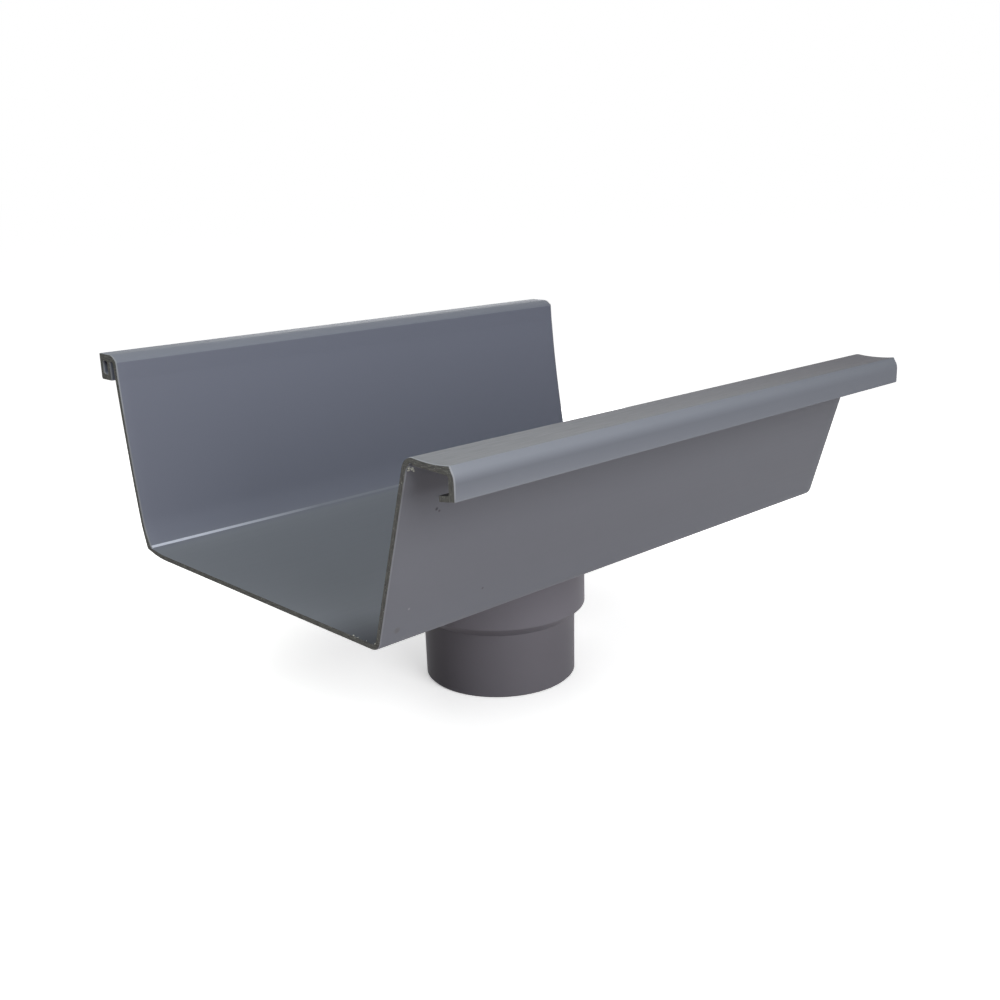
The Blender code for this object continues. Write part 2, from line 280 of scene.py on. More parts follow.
def marked(tree, place, tone):
    """Put the small marks on a tone."""
    for centre, radius, colour in MARKS:
        off = add(tree, "ShaderNodeVectorMath", {"operation": "DISTANCE"}, {
            0: place, 1: tuple(c * MM for c in centre)}).outputs["Value"]
        spot = add(tree, "ShaderNodeMapRange", links={
            "Value": off, "From Min": radius * MM, "From Max": MARK_CORE * radius * MM}).outputs[0]
        tone = add(tree, "ShaderNodeMix", {"data_type": "RGBA"}, {
            "Factor": spot, "A": tone, "B": linear(colour)}).outputs["Result"]
    return tone


def painted_shade(tree, place, at, tone):
    """Paint shade on a tone: dark at the floor's near front corner and on the top of the rim's lip."""
    off = add(tree, "ShaderNodeVectorMath", {"operation": "DISTANCE"}, {
        0: place, 1: SHADE_CORNER}).outputs["Value"]
    shade_weight = add(tree, "ShaderNodeMapRange", {"interpolation_type": "SMOOTHSTEP"}, {
        "Value": off, "From Min": SHADE_REACH, "From Max": 0.0}).outputs[0]
    inside = add(tree, "ShaderNodeMath", {"operation": "LESS_THAN"}, {0: at["X"], 1: SHADE_END}).outputs[0]
    above = add(tree, "ShaderNodeMath", {"operation": "GREATER_THAN"}, {
        0: at["Z"], 1: SHADE_FLOOR}).outputs[0]
    corner = add(tree, "ShaderNodeMath", {"operation": "MULTIPLY"}, {0: shade_weight, 1: inside}).outputs[0]
    corner = add(tree, "ShaderNodeMath", {"operation": "MULTIPLY"}, {0: corner, 1: above}).outputs[0]
    lip = add(tree, "ShaderNodeMath", {"operation": "MULTIPLY"}, {
        0: between(tree, at["Z"], LIP_TOP), 1: between(tree, at["X"], LIP_SPAN)}).outputs[0]
    # both colours are painted shade
    for where, colour in ((corner, "#33363D"), (lip, "#1E1E20")):
        tone = add(tree, "ShaderNodeMix", {"data_type": "RGBA"}, {
            "Factor": where, "A": tone, "B": linear(colour)}).outputs["Result"]
    return tone


def extruded_pvc():
    """Rigid PVC, extruded and cooled in a calibrator: satin, with faint lines along its length."""
    material = new_material("extruded_pvc")
    tree = material.node_tree
    place = add(tree, "ShaderNodeTexCoord").outputs["Object"]
    at = add(tree, "ShaderNodeSeparateXYZ", links={0: place}).outputs
    low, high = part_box(TROUGH)
    away = add(tree, "ShaderNodeMapRange", links={
        "Value": at["Y"], "From Min": low.y, "From Max": high.y}).outputs[0]

    on_rim = add(tree, "ShaderNodeMath", {"operation": "GREATER_THAN"}, {
        0: at["X"], 1: RIM_START}).outputs[0]
    on_face = add(tree, "ShaderNodeMath", {"operation": "GREATER_THAN"}, {
        0: at["X"], 1: FACE_START}).outputs[0]
    raised = add(tree, "ShaderNodeMath", {"operation": "GREATER_THAN"}, {
        0: at["Z"], 1: RIM_TOP_SKIN}).outputs[0]
    on_top = add(tree, "ShaderNodeMath", {"operation": "MULTIPLY"}, {0: on_rim, 1: raised}).outputs[0]
    # painted highlight on the rear bead's top
    bead_highlight = add(tree, "ShaderNodeMath", {"operation": "GREATER_THAN"}, {
        0: at["Z"], 1: BEAD_HIGHLIGHT_LEVEL}).outputs[0]
    tone = wall_tone(tree, place, at)
    layers = ((on_top, rim_top_wear_and_shade(tree, place, away)), (on_face, rim_face_painted_light(tree, at, away)),
              (bead_highlight, linear("#7D818D")))
    for where, colour in layers:
        tone = add(tree, "ShaderNodeMix", {"data_type": "RGBA"}, {
            "Factor": where, "A": tone, "B": colour}).outputs["Result"]
    tone = painted_shade(tree, place, at, marked(tree, place, tone))

    lines = streaked(tree, place, DRAWN_LINES, 3.0)
    satin = add(tree, "ShaderNodeMapRange", links={"Value": lines, "To Min": 0.50, "To Max": 0.60})
    rough = add(tree, "ShaderNodeMath", {"operation": "MULTIPLY_ADD"}, {
        0: on_top, 1: 0.15, 2: satin.outputs[0]})
    relief = add(tree, "ShaderNodeBump", links={"Height": lines, "Strength": 0.35, "Distance": FINE_RELIEF})
    shader = add(tree, "ShaderNodeBsdfPrincipled", links={
        "Base Color": tone, "Roughness": rough.outputs[0], "IOR": 1.53, "Specular IOR Level": 0.15})
    return finish_material(material, shader, relief.outputs[0])


def sawn_pvc():
    """The same PVC where a saw cut it: dull, streaked along the wall, with torn pale specks."""
    material = new_material("sawn_pvc")
    tree = material.node_tree
    place = add(tree, "ShaderNodeTexCoord").outputs["Object"]
    height = add(tree, "ShaderNodeSeparateXYZ", links={0: place}).outputs["Z"]
    low = add(tree, "ShaderNodeMath", {"operation": "LESS_THAN"}, {
        0: height, 1: STREAKS_LIE_BELOW}).outputs[0]
    high = add(tree, "ShaderNodeMath", {"operation": "GREATER_THAN"}, {
        0: height, 1: STREAKS_LIE_ABOVE}).outputs[0]
    lying = add(tree, "ShaderNodeMath", {"operation": "MAXIMUM"}, {0: low, 1: high}).outputs[0]
    streak = add(tree, "ShaderNodeMix", {"data_type": "FLOAT"}, {
        "Factor": lying, "A": streaked(tree, place, STANDING_STREAKS, 4.0),
        "B": streaked(tree, place, LYING_STREAKS, 4.0)}).outputs["Result"]
    contrast = add(tree, "ShaderNodeMapRange", links={
        "Value": streak, "From Min": 0.32, "From Max": 0.68}).outputs[0]
    tone = add(tree, "ShaderNodeMix", {"data_type": "RGBA"}, {
        "Factor": contrast, "A": linear("#3E3E3F"), "B": linear("#767674")})
    grain = add(tree, "ShaderNodeTexNoise", links={"Vector": place, "Scale": 1 / TORN_SPECK, "Detail": 2.0})
    torn = add(tree, "ShaderNodeMapRange", links={
        "Value": grain.outputs["Fac"], "From Min": 0.66, "From Max": 0.74}).outputs[0]
    specked = add(tree, "ShaderNodeMix", {"data_type": "RGBA"}, {
        "Factor": torn, "A": tone.outputs["Result"], "B": linear("#B4B3AE")})
    relief = add(tree, "ShaderNodeBump", links={"Height": streak, "Strength": 0.6, "Distance": SAWN_RELIEF})
    shader = add(tree, "ShaderNodeBsdfPrincipled", links={
        "Base Color": specked.outputs["Result"], "Roughness": 0.75, "IOR": 1.53, "Specular IOR Level": 0.1})
    return finish_material(material, shader, relief.outputs[0])


def scraped_and_highlit_pvc():
    """The edge round a cut, scraped free of burrs and pale, with a painted highlight that makes it palest on
    the rim.
    """
    material = new_material("scraped_and_highlit_pvc")
    tree = material.node_tree
    place = add(tree, "ShaderNodeTexCoord").outputs["Object"]
    height = add(tree, "ShaderNodeSeparateXYZ", links={0: place}).outputs["Z"]
    scraped = add(tree, "ShaderNodeMapRange", links={
        "Value": height, "From Min": SCRAPE_RISE[0], "From Max": SCRAPE_RISE[1]}).outputs[0]
    tone = add(tree, "ShaderNodeMix", {"data_type": "RGBA"}, {
        "Factor": scraped, "A": linear("#7E8087"), "B": linear("#8C8F96")})
    shader = add(tree, "ShaderNodeBsdfPrincipled", links={
        "Base Color": tone.outputs["Result"], "Roughness": 0.6, "IOR": 1.53, "Specular IOR Level": 0.2})
    return finish_material(material, shader)


def torn_pvc():
    """Shavings of the same PVC, stretched white as the saw tore them off."""
    material = new_material("torn_pvc")
    shader = add(material.node_tree, "ShaderNodeBsdfPrincipled", links={
        "Base Color": linear("#B5B5AE"), "Roughness": 0.7, "IOR": 1.53, "Specular IOR Level": 0.2})
    return finish_material(material, shader)


def fold_highlight_pvc():
    """The rear fold's inner corner: a painted highlight, pale, and less so towards the far end."""
    material = new_material("fold_highlight_pvc")
    tree = material.node_tree
    place = add(tree, "ShaderNodeTexCoord").outputs["Object"]
    along = add(tree, "ShaderNodeSeparateXYZ", links={0: place}).outputs["Y"]
    fade = add(tree, "ShaderNodeMapRange", links={
        "Value": along, "From Min": FOLD_HIGHLIGHT_FADE[0], "From Max": FOLD_HIGHLIGHT_FADE[1]})
    tone = add(tree, "ShaderNodeMix", {"data_type": "RGBA"}, {
        "Factor": fade.outputs[0], "A": linear("#C3C7D6"), "B": linear("#7E828D")})
    shader = add(tree, "ShaderNodeBsdfPrincipled", links={
        "Base Color": tone.outputs["Result"], "Roughness": 0.5, "IOR": 1.53, "Specular IOR Level": 0.15})
    return finish_material(material, shader)


def moulded_pvc():
    """Rigid PVC, injection moulded: even and satin, a little darker and warmer than the trough, with painted
    light that makes the collar lighter than the pipe.
    """
    material = new_material("moulded_pvc")
    tree = material.node_tree
    place = add(tree, "ShaderNodeTexCoord").outputs["Object"]
    cloud = add(tree, "ShaderNodeTexNoise", links={
        "Vector": place, "Scale": 1 / MOULDED_CLOUD, "Detail": 3.0})
    pipe = add(tree, "ShaderNodeMix", {"data_type": "RGBA"}, {
        "Factor": cloud.outputs["Fac"], "A": linear("#716F76"), "B": linear("#77757C")})
    # the collar's lighter tone is painted light
    collar = add(tree, "ShaderNodeMix", {"data_type": "RGBA"}, {
        "Factor": cloud.outputs["Fac"], "A": linear("#7C7A82"), "B": linear("#838189")})
    height = add(tree, "ShaderNodeSeparateXYZ", links={0: place}).outputs["Z"]
    up = add(tree, "ShaderNodeMapRange", links={
        "Value": height, "From Min": COLLAR_LIGHT_RISE[0], "From Max": COLLAR_LIGHT_RISE[1]}).outputs[0]
    tone = add(tree, "ShaderNodeMix", {"data_type": "RGBA"}, {
        "Factor": up, "A": pipe.outputs["Result"], "B": collar.outputs["Result"]})
    grain = add(tree, "ShaderNodeTexNoise", links={
        "Vector": place, "Scale": 1 / MOULDED_GRAIN, "Detail": 2.0})
    relief = add(tree, "ShaderNodeBump", links={
        "Height": grain.outputs["Fac"], "Strength": 0.3, "Distance": FINE_RELIEF})
    shader = add(tree, "ShaderNodeBsdfPrincipled", links={
        "Base Color": tone.outputs["Result"], "Roughness": 0.55, "IOR": 1.53, "Specular IOR Level": 0.15})
    return finish_material(material, shader, relief.outputs[0])


def node_copy(node):
    """The CAD node's mesh with its loose triangles merged, as a bmesh."""
    shape = bmesh.new()
    shape.from_mesh(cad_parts[node].data)
    bmesh.ops.remove_doubles(shape, verts=shape.verts, dist=SAME_POINT)
    return shape


def link_piece(name, mesh):
    piece = bpy.data.objects.new(name, mesh)
    bpy.context.scene.collection.objects.link(piece)
    return piece


def curve_points(start, middle, end, first=0.0, last=1.0):
    """Points on the curve that leaves start towards middle and reaches end from there."""
    shares = [first + (last - first) * i / (FOLD_POINTS - 1) for i in range(FOLD_POINTS)]
    return [start.lerp(middle, t).lerp(middle.lerp(end, t), t) for t in shares]


def fold_points(wall_point, wall_way, corner, floor_point):
    """One face of the rear fold, from its last wall point down to the flat floor."""
    wall_middle = wall_point + wall_way * FOLD_WALL_EASE
    floor_middle = Vector((corner.x + FOLD_FLOOR_EASE, floor_point.y))
    wall_stop = 1 - FOLD_ROUND / (2 * (corner - wall_middle).length)
    floor_start = FOLD_ROUND / (2 * (floor_middle - corner).length)
    down = curve_points(wall_point, wall_middle, corner, last=wall_stop)
    out = curve_points(corner, floor_middle, floor_point, first=floor_start)
    return down + curve_points(down[-1], corner, out[0])[1:-1] + out


def folded(loop):
    """Give the rear bend of a closed loop of (x, height) points its true form, inside and outside."""
    axis_x = spigot_axis()[0]
    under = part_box(TROUGH)[0].z
    top = max(range(len(loop)), key=lambda i: loop[i].y)
    loop = loop[top:] + loop[:top]
    flags = [p.x < axis_x - FOLD_FLOOR_END and p.y < under + FOLD_WALL_TOP for p in loop]
    result = []
    for i, (point, bent) in enumerate(zip(loop, flags)):
        if not bent:
            result.append(point)
            continue
        if flags[i - 1]:
            continue
        last = i
        while flags[last]:
            last += 1
        before, after = loop[i - 1], loop[last]
        falling = before.y > after.y
        wall_point, wall_next = (before, loop[i - 2]) if falling else (after, loop[last + 1])
        level = min(before.y, after.y)
        corner = Vector((axis_x - FOLD_PLACE, under + FOLD_LIFT))
        if level > under + SAME_POINT:
            corner += FOLD_INSIDE
        floor_point = Vector((axis_x - FOLD_FLOOR_END, level))
        stretch = fold_points(wall_point, (wall_point - wall_next).normalized(), corner, floor_point)[1:]
        result += stretch if falling else stretch[::-1]
    return result


def near_end_section():
    """Closed loops round the trough's near end, laid in the plane Y = 0, with the rear fold made true."""
    shape = node_copy(TROUGH)
    near_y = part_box(TROUGH)[0].y
    cap = {face for face in shape.faces
           if face.normal.y < -SQUARE_ON and abs(face.calc_center_median().y - near_y) < SAME_POINT}
    follower = {loop.link_loop_next.vert: loop.vert for face in cap for loop in face.loops
                if loop.link_loop_radial_next.face not in cap}
    points = []
    edges = []
    while follower:
        corner = next(iter(follower))
        loop = []
        while corner in follower:
            loop.append(Vector((corner.co.x, corner.co.z)))
            corner = follower.pop(corner)
        first = len(points)
        points += [(x, 0, height) for x, height in folded(loop)]
        count = len(points) - first
        edges += [(first + i, first + (i + 1) % count) for i in range(count)]
    mesh = bpy.data.meshes.new("trough_section")
    mesh.from_pydata(points, edges, [])
    shape.free()
    return mesh


def spigot_axis():
    low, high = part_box(SPIGOT)
    return (low.x + high.x) / 2, (low.y + high.y) / 2


def spigot_half_section():
    """The spigot's outline on one side of its axis, as (radius, 0, height)."""
    shape = node_copy(SPIGOT)
    axis_x, axis_y = spigot_axis()
    edges = [edge for edge in shape.edges
             if all(abs(v.co.y - axis_y) < SAME_POINT and v.co.x > axis_x for v in edge.verts)]
    section = bmesh.new()
    made = {}
    for edge in edges:
        for corner in edge.verts:
            if corner not in made:
                made[corner] = section.verts.new((corner.co.x - axis_x, 0, corner.co.z))
        section.edges.new([made[corner] for corner in edge.verts])
    mesh = bpy.data.meshes.new("spigot_section")
    section.to_mesh(mesh)
    shape.free()
    section.free()
    return mesh


def new_tree(name, inputs):
    """A Geometry Nodes tree with a geometry socket at each end and these named inputs."""
    tree = bpy.data.node_groups.new(name, "GeometryNodeTree")
    tree.interface.new_socket("Geometry", in_out="INPUT", socket_type="NodeSocketGeometry")
    for title, kind in inputs.items():
        tree.interface.new_socket(title, in_out="INPUT", socket_type=kind)
    tree.interface.new_socket("Geometry", in_out="OUTPUT", socket_type="NodeSocketGeometry")
    return tree


def end_cap(tree, rim, length, side):
    """Close one end of the extrusion: the rim edges there, filled flat."""
    turn = math.radians(90)
    place = add(tree, "GeometryNodeInputPosition").outputs[0]
    y = add(tree, "ShaderNodeSeparateXYZ", links={0: place}).outputs["Y"]
    here = add(tree, "ShaderNodeMath", {"operation": "MULTIPLY"}, {0: y, 1: side}).outputs[0]
    other = add(tree, "ShaderNodeMath", {"operation": "LESS_THAN"}, {0: here, 1: 0.0}).outputs[0]
    only = add(tree, "GeometryNodeDeleteGeometry", {"domain": "POINT"}, {0: rim, 1: other}).outputs[0]
    flat = add(tree, "GeometryNodeTransform", links={0: only, "Rotation": (turn, 0, 0)}).outputs[0]
    curve = add(tree, "GeometryNodeMeshToCurve", links={0: flat}).outputs[0]
    fill = add(tree, "GeometryNodeFillCurve", {"mode": "TRIANGLES"}, {0: curve}).outputs[0]
    reach = add(tree, "ShaderNodeMath", {"operation": "MULTIPLY"}, {0: length, 1: side / 2}).outputs[0]
    move = add(tree, "ShaderNodeCombineXYZ", links={"Y": reach}).outputs[0]
    back = add(tree, "GeometryNodeTransform", links={
        0: fill, "Rotation": (-turn, 0, 0), "Translation": move}).outputs[0]
    if side < 0:
        return back
    return add(tree, "GeometryNodeFlipFaces", links={0: back}).outputs[0]


def lamp_facing_faces(tree, given):
    """1 on faces towards +X and on the rim's top, the sides that face the lamps, where the scraped edge also
    carries a painted highlight.
    """
    normal = add(tree, "GeometryNodeInputNormal").outputs[0]
    way = add(tree, "ShaderNodeSeparateXYZ", links={0: normal}).outputs
    place = add(tree, "GeometryNodeInputPosition").outputs[0]
    height = add(tree, "ShaderNodeSeparateXYZ", links={0: place}).outputs["Z"]
    to_side = add(tree, "ShaderNodeMath", {"operation": "GREATER_THAN"}, {
        0: way["X"], 1: SIDEWAYS}).outputs[0]
    to_top = add(tree, "ShaderNodeMath", {"operation": "GREATER_THAN"}, {0: way["Z"], 1: UPWARDS}).outputs[0]
    high = add(tree, "ShaderNodeMath", {"operation": "GREATER_THAN"}, {
        0: height, 1: given["Top Level"]}).outputs[0]
    rim_top = add(tree, "ShaderNodeMath", {"operation": "MULTIPLY"}, {0: to_top, 1: high}).outputs[0]
    return add(tree, "ShaderNodeMath", {"operation": "MAXIMUM"}, {0: to_side, 1: rim_top}).outputs[0]


def fold_highlight_band(tree, given):
    """1 close round the line of the rear fold's inner corner, where the highlight is painted."""
    place = add(tree, "GeometryNodeInputPosition").outputs[0]
    off = add(tree, "ShaderNodeVectorMath", {"operation": "SUBTRACT"}, {
        0: place, 1: given["Fold Place"]}).outputs[0]
    across = add(tree, "ShaderNodeVectorMath", {"operation": "MULTIPLY"}, {0: off, 1: (1, 0, 1)}).outputs[0]
    far = add(tree, "ShaderNodeVectorMath", {"operation": "LENGTH"}, {0: across}).outputs["Value"]
    return add(tree, "ShaderNodeMath", {"operation": "LESS_THAN"}, {0: far, 1: given["Fold Highlight Reach"]}).outputs[0]


def sawn_extrusion_tree():
    """Extrude a closed section along Y, break the sawn edges, close the ends and drill the hole."""
    tree = new_tree("sawn_extrusion", {
        "Length": "NodeSocketFloat", "Slices": "NodeSocketInt", "Edge Break": "NodeSocketFloat",
        "Edge Depth": "NodeSocketFloat", "Unevenness": "NodeSocketFloat", "Edge Grain": "NodeSocketFloat",
        "Hole Radius": "NodeSocketFloat", "Hole Place": "NodeSocketVector", "Nick Radius": "NodeSocketFloat",
        "Nick Depth": "NodeSocketFloat", "Nick Place": "NodeSocketVector", "Top Level": "NodeSocketFloat",
        "Fold Place": "NodeSocketVector", "Fold Highlight Reach": "NodeSocketFloat", "Skin": "NodeSocketMaterial",
        "Painted Fold Highlight": "NodeSocketMaterial", "Edge": "NodeSocketMaterial", "Cut": "NodeSocketMaterial"})
    given = add(tree, "NodeGroupInput").outputs
    shrink = add(tree, "ShaderNodeMath", {"operation": "MULTIPLY"}, {0: given["Edge Break"], 1: 2.0})
    run = add(tree, "ShaderNodeMath", {"operation": "SUBTRACT"}, {0: given["Length"], 1: shrink.outputs[0]})
    half = add(tree, "ShaderNodeMath", {"operation": "MULTIPLY"}, {0: run.outputs[0], 1: 0.5}).outputs[0]
    minus = add(tree, "ShaderNodeMath", {"operation": "MULTIPLY"}, {0: run.outputs[0], 1: -0.5}).outputs[0]
    near = add(tree, "ShaderNodeCombineXYZ", links={"Y": minus}).outputs[0]
    far = add(tree, "ShaderNodeCombineXYZ", links={"Y": half}).outputs[0]
    line = add(tree, "GeometryNodeCurvePrimitiveLine", links={"Start": near, "End": far}).outputs[0]
    path = add(tree, "GeometryNodeResampleCurve", links={"Curve": line, "Count": given["Slices"]}).outputs[0]
    outline = add(tree, "GeometryNodeMeshToCurve", links={0: given["Geometry"]}).outputs[0]
    upright = add(tree, "GeometryNodeTransform", links={0: outline, "Rotation": UPRIGHT})
    walls = add(tree, "GeometryNodeCurveToMesh", links={"Curve": path, "Profile Curve": upright.outputs[0]})

    # an open edge has one face beside it, and all others have two
    faces_beside = add(tree, "GeometryNodeInputMeshEdgeNeighbors").outputs[0]
    at_end = add(tree, "ShaderNodeMath", {"operation": "LESS_THAN"}, {0: faces_beside, 1: 1.5}).outputs[0]
    place = add(tree, "GeometryNodeInputPosition").outputs[0]
    y = add(tree, "ShaderNodeSeparateXYZ", links={0: place}).outputs["Y"]
    side = add(tree, "ShaderNodeMath", {"operation": "SIGN"}, {0: y}).outputs[0]
    outward = add(tree, "ShaderNodeMath", {"operation": "MULTIPLY"}, {
        0: side, 1: given["Edge Break"]}).outputs[0]
    along = add(tree, "ShaderNodeCombineXYZ", links={"Y": outward}).outputs[0]
    grain = add(tree, "ShaderNodeMath", {"operation": "DIVIDE"}, {0: 1.0, 1: given["Edge Grain"]}).outputs[0]
    noise = add(tree, "ShaderNodeTexNoise", links={"Vector": place, "Scale": grain, "Detail": 2.0})
    swing = add(tree, "ShaderNodeMapRange", links={
        "Value": noise.outputs[0], "From Min": 0.3, "From Max": 0.7, "To Min": -1.0, "To Max": 1.0})
    vary = add(tree, "ShaderNodeMath", {"operation": "MULTIPLY_ADD"}, {
        0: swing.outputs[0], 1: given["Unevenness"], 2: 1.0}).outputs[0]
    depth = add(tree, "ShaderNodeMath", {"operation": "MULTIPLY"}, {
        0: vary, 1: given["Edge Depth"]}).outputs[0]
    inward = add(tree, "ShaderNodeMath", {"operation": "MULTIPLY"}, {0: depth, 1: -1.0}).outputs[0]
    normal = add(tree, "GeometryNodeInputNormal").outputs[0]
    across = add(tree, "ShaderNodeVectorMath", {"operation": "SCALE"}, {
        0: normal, "Scale": inward}).outputs[0]
    lean = add(tree, "ShaderNodeVectorMath", {"operation": "ADD"}, {0: along, 1: across}).outputs[0]
    broken = add(tree, "GeometryNodeExtrudeMesh", {"mode": "EDGES"}, {
        "Mesh": walls.outputs[0], "Selection": at_end, "Offset": lean})
    rim = add(tree, "GeometryNodeSeparateGeometry", {"domain": "EDGE"}, {
        0: broken.outputs["Mesh"], 1: broken.outputs["Top"]}).outputs[0]
    whole = add(tree, "GeometryNodeJoinGeometry")
    for part in (end_cap(tree, rim, given["Length"], 1.0), end_cap(tree, rim, given["Length"], -1.0),
                 broken.outputs["Mesh"]):
        tree.links.new(part, whole.inputs[0])
    closed = add(tree, "GeometryNodeMergeByDistance", links={0: whole.outputs[0], "Distance": SAME_POINT})
    drill = add(tree, "GeometryNodeMeshCylinder", links={
        "Vertices": HOLE_SIDES, "Radius": given["Hole Radius"], "Depth": CUT_DEPTH})
    placed = add(tree, "GeometryNodeTransform", links={
        0: drill.outputs[0], "Translation": given["Hole Place"]})
    drilled = add(tree, "GeometryNodeMeshBoolean", {"operation": "DIFFERENCE", "solver": "EXACT"}, {
        "Mesh 1": closed.outputs[0]})
    tree.links.new(placed.outputs[0], drilled.inputs["Mesh 2"])
    nick = add(tree, "GeometryNodeMeshCylinder", links={
        "Vertices": NICK_SIDES, "Radius": given["Nick Radius"], "Depth": given["Nick Depth"]})
    laid = add(tree, "GeometryNodeTransform", links={
        0: nick.outputs[0], "Rotation": UPRIGHT, "Translation": given["Nick Place"]})
    tree.links.new(laid.outputs[0], drilled.inputs["Mesh 2"])

    reach = add(tree, "ShaderNodeMath", {"operation": "ABSOLUTE"}, {0: y}).outputs[0]
    end = add(tree, "ShaderNodeMath", {"operation": "MULTIPLY"}, {0: given["Length"], 1: 0.5}).outputs[0]
    inset = add(tree, "ShaderNodeMath", {"operation": "SUBTRACT"}, {0: end, 1: reach}).outputs[0]
    share = add(tree, "ShaderNodeMath", {"operation": "DIVIDE"}, {
        0: inset, 1: given["Edge Break"]}).outputs[0]
    worn = add(tree, "ShaderNodeMath", {"operation": "LESS_THAN"}, {0: share, 1: WORN_SHARE}).outputs[0]
    scraped = add(tree, "ShaderNodeMath", {"operation": "MULTIPLY"}, {
        0: worn, 1: lamp_facing_faces(tree, given)})
    cut = add(tree, "ShaderNodeMath", {"operation": "LESS_THAN"}, {0: share, 1: CUT_SHARE})
    finished = add(tree, "GeometryNodeRealizeInstances", links={0: drilled.outputs[0]}).outputs[0]
    finished = add(tree, "GeometryNodeSetMaterial", links={
        0: finished, "Material": given["Skin"]}).outputs[0]
    places = {"Painted Fold Highlight": fold_highlight_band(tree, given), "Edge": scraped.outputs[0], "Cut": cut.outputs[0]}
    for finish, where in places.items():
        finished = add(tree, "GeometryNodeSetMaterial", links={
            0: finished, "Selection": where, "Material": given[finish]}).outputs[0]
    add(tree, "NodeGroupOutput", links={0: finished})
    return tree


def turned_moulding_tree():
    """Turn a half section of (radius, 0, height) about the Z axis."""
    tree = new_tree("turned_moulding", {
        "Turn Radius": "NodeSocketFloat", "Sides": "NodeSocketInt", "Axis Place": "NodeSocketVector",
        "Skin": "NodeSocketMaterial"})
    given = add(tree, "NodeGroupInput").outputs
    path = add(tree, "GeometryNodeCurvePrimitiveCircle", links={
        "Resolution": given["Sides"], "Radius": given["Turn Radius"]}).outputs[0]
    outline = add(tree, "GeometryNodeMeshToCurve", links={0: given["Geometry"]}).outputs[0]
    inset = add(tree, "ShaderNodeMath", {"operation": "MULTIPLY"}, {
        0: given["Turn Radius"], 1: -1.0}).outputs[0]
    shift = add(tree, "ShaderNodeCombineXYZ", links={"X": inset}).outputs[0]
    upright = add(tree, "GeometryNodeTransform", links={
        0: outline, "Rotation": UPRIGHT, "Translation": shift}).outputs[0]
    ring = add(tree, "GeometryNodeCurveToMesh", links={"Curve": path, "Profile Curve": upright})
    placed = add(tree, "GeometryNodeTransform", links={
        0: ring.outputs[0], "Translation": given["Axis Place"]})
    real = add(tree, "GeometryNodeRealizeInstances", links={0: placed.outputs[0]})
    skinned = add(tree, "GeometryNodeSetMaterial", links={0: real.outputs[0], "Material": given["Skin"]})
    add(tree, "NodeGroupOutput", links={0: skinned.outputs[0]})
    return tree


def shavings_tree():
    """Put a small curl on each point, turned and sized at random."""
    tree = new_tree("saw_shavings", {
        "Curl Radius": "NodeSocketFloat", "Width": "NodeSocketFloat", "Thickness": "NodeSocketFloat",
        "Seed": "NodeSocketInt", "Skin": "NodeSocketMaterial"})
    given = add(tree, "NodeGroupInput").outputs
    spiral = add(tree, "GeometryNodeCurveSpiral", links={
        "Resolution": CURL_POINTS, "Rotations": CURL_TURNS, "Start Radius": given["Curl Radius"],
        "End Radius": given["Curl Radius"], "Height": 0.0})
    ribbon = add(tree, "GeometryNodeCurvePrimitiveQuadrilateral", links={
        "Width": given["Thickness"], "Height": given["Width"]})
    curl = add(tree, "GeometryNodeCurveToMesh", links={
        "Curve": spiral.outputs[0], "Profile Curve": ribbon.outputs[0], "Fill Caps": True})
    upright = add(tree, "GeometryNodeTransform", links={0: curl.outputs[0], "Rotation": UPRIGHT})
    angle = add(tree, "FunctionNodeRandomValue", {"data_type": "FLOAT"}, {
        2: 0.0, 3: math.tau, "Seed": given["Seed"]}).outputs[1]
    turn = add(tree, "ShaderNodeCombineXYZ", links={"Y": angle}).outputs[0]
    size = add(tree, "FunctionNodeRandomValue", {"data_type": "FLOAT"}, {
        2: CURL_SIZES[0], 3: CURL_SIZES[1], "Seed": given["Seed"]}).outputs[1]
    spread = add(tree, "GeometryNodeInstanceOnPoints", links={
        "Points": given["Geometry"], "Instance": upright.outputs[0], "Rotation": turn, "Scale": size})
    real = add(tree, "GeometryNodeRealizeInstances", links={0: spread.outputs[0]})
    skinned = add(tree, "GeometryNodeSetMaterial", links={0: real.outputs[0], "Material": given["Skin"]})
    add(tree, "NodeGroupOutput", links={0: skinned.outputs[0]})
    return tree


def grown(name, mesh, tree, values):
    """Run a tree on a mesh with these inputs and return the result as a plain piece."""
    seed = link_piece(name + "_seed", mesh)
    step = seed.modifiers.new(name, "NODES")
    step.node_group = tree
    for item in tree.interface.items_tree:
        if item.in_out == "INPUT" and item.name in values:
            step[item.identifier] = values[item.name]
    result = bpy.data.meshes.new_from_object(seed.evaluated_get(bpy.context.evaluated_depsgraph_get()))
    bpy.data.objects.remove(seed, do_unlink=True)
    result.name = name
    shape = bmesh.new()
    shape.from_mesh(result)
    bmesh.ops.recalc_face_normals(shape, faces=shape.faces)
    shape.to_mesh(result)
    shape.free()
    result.shade_smooth()
    result.set_sharp_from_angle(angle=SMOOTH_ANGLE)
    return link_piece(name, result)


